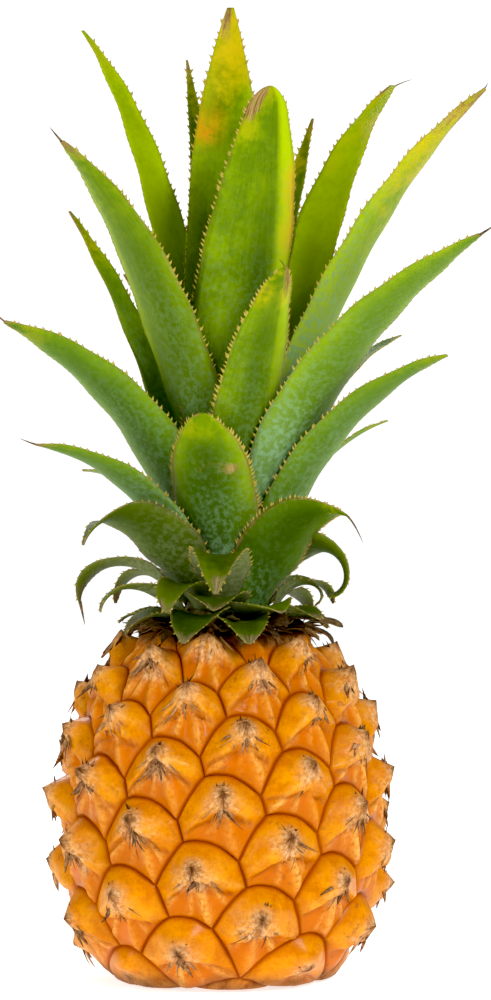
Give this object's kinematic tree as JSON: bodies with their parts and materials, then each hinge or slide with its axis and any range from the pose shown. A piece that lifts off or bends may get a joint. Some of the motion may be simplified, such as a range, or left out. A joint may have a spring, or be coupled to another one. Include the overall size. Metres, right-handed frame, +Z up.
{
  "type": "pineapple",
  "caption": "Small whole pineapple: a barrel of spiral, pointed fruitlets on a flat spot, with a crown of channelled, spiny leaves.",
  "frame": {"origin": "middle of the flat spot under the fruit, on the surface it stands on", "axes": "+Z up through the fruit and the crown, +X to the right and -Y to the front"},
  "size_m": [0.1254, 0.1027, 0.259],
  "materials": {
    "fruit_skin": "satin",
    "stem": "matte",
    "leaf_green": "satin",
    "leaf_silver": "satin",
    "leaf_dry": "matte"
  },
  "bodies": {
    "root": {"fruit": "fruit_skin", "crown_stem": "stem", "leaf_tall_01": "leaf_green", "leaf_tall_02": "leaf_green", "leaf_tall_03": "leaf_green", "leaf_tall_04": "leaf_green", "leaf_tall_05": "leaf_green", "leaf_tall_06": "leaf_green", "leaf_tall_07": "leaf_green", "leaf_tall_08": "leaf_green", "leaf_tall_09": "leaf_green", "leaf_tall_10": "leaf_green", "leaf_spreading_01": "leaf_silver", "leaf_spreading_02": "leaf_silver", "leaf_spreading_03": "leaf_silver", "leaf_spreading_04": "leaf_silver", "leaf_spreading_05": "leaf_silver", "leaf_spreading_06": "leaf_silver", "leaf_spreading_07": "leaf_silver", "leaf_spreading_08": "leaf_silver", "leaf_spreading_09": "leaf_silver", "leaf_spreading_10": "leaf_silver", "leaf_spreading_11": "leaf_silver", "leaf_spreading_12": "leaf_silver", "leaf_spreading_13": "leaf_silver", "leaf_spreading_14": "leaf_silver", "leaf_curled_01": "leaf_dry", "leaf_curled_02": "leaf_dry", "leaf_curled_03": "leaf_dry", "leaf_curled_04": "leaf_dry", "leaf_curled_05": "leaf_dry", "leaf_curled_06": "leaf_dry", "leaf_curled_07": "leaf_dry", "leaf_curled_08": "leaf_dry", "leaf_curled_09": "leaf_dry", "leaf_curled_10": "leaf_dry", "leaf_curled_11": "leaf_dry", "leaf_curled_12": "leaf_dry", "leaf_curled_13": "leaf_dry", "leaf_curled_14": "leaf_dry", "leaf_curled_15": "leaf_dry", "leaf_curled_16": "leaf_dry", "leaf_curled_17": "leaf_dry", "leaf_curled_18": "leaf_dry", "leaf_curled_19": "leaf_dry", "leaf_curled_20": "leaf_dry", "leaf_curled_21": "leaf_dry", "leaf_curled_22": "leaf_dry", "leaf_curled_23": "leaf_dry", "leaf_curled_24": "leaf_dry"}
  },
  "joints": []
}
